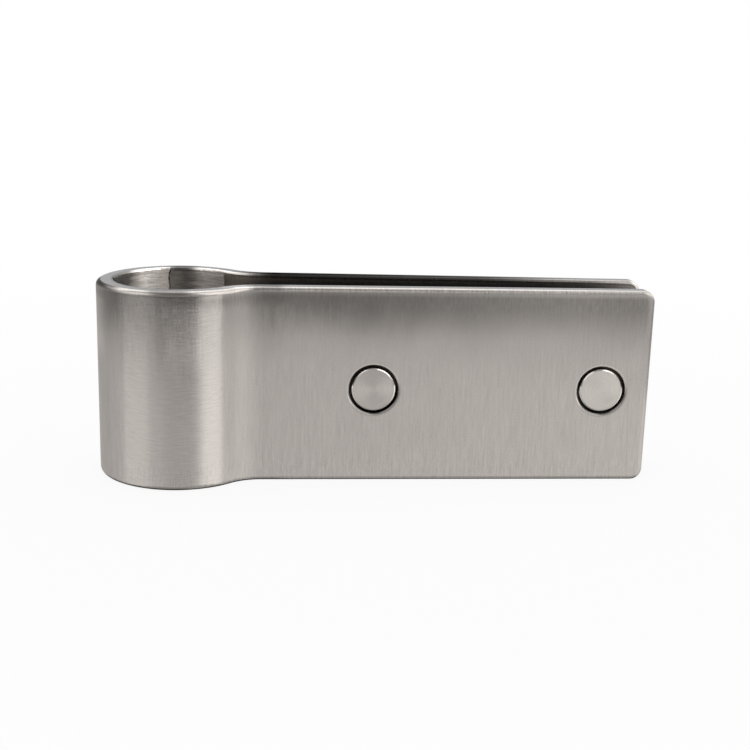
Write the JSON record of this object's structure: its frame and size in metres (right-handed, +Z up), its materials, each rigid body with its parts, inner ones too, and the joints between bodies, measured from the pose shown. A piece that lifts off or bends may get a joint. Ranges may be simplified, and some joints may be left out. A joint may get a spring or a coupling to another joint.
{
  "type": "shower screen bracket",
  "caption": "Folded steel bracket with a round barrel that clamps a pole and a slot between two long legs, drawn together by flush sleeve nuts, that clamps a glass screen.",
  "frame": {"origin": "on the pole's axis, at mid-height of the strap", "axes": "+X along the legs to their open end, +Z up the pole, plain nut heads face -Y"},
  "size_m": [0.141, 0.041, 0.05],
  "materials": {
    "strap_steel": "satin brushed stainless steel, grain upright on the legs",
    "fastener_steel": "fine turned stainless steel",
    "bush_nylon": "natural nylon",
    "gasket_rubber": "matt black rubber sheet"
  },
  "bodies": {
    "root": {"folded_strap": "strap_steel", "sleeve_nut_inner": "fastener_steel", "sleeve_nut_outer": "fastener_steel", "socket_screw_inner": "fastener_steel", "socket_screw_outer": "fastener_steel", "glass_bush_inner": "bush_nylon", "glass_bush_outer": "bush_nylon", "gasket_front": "gasket_rubber", "gasket_rear": "gasket_rubber"}
  },
  "joints": []
}
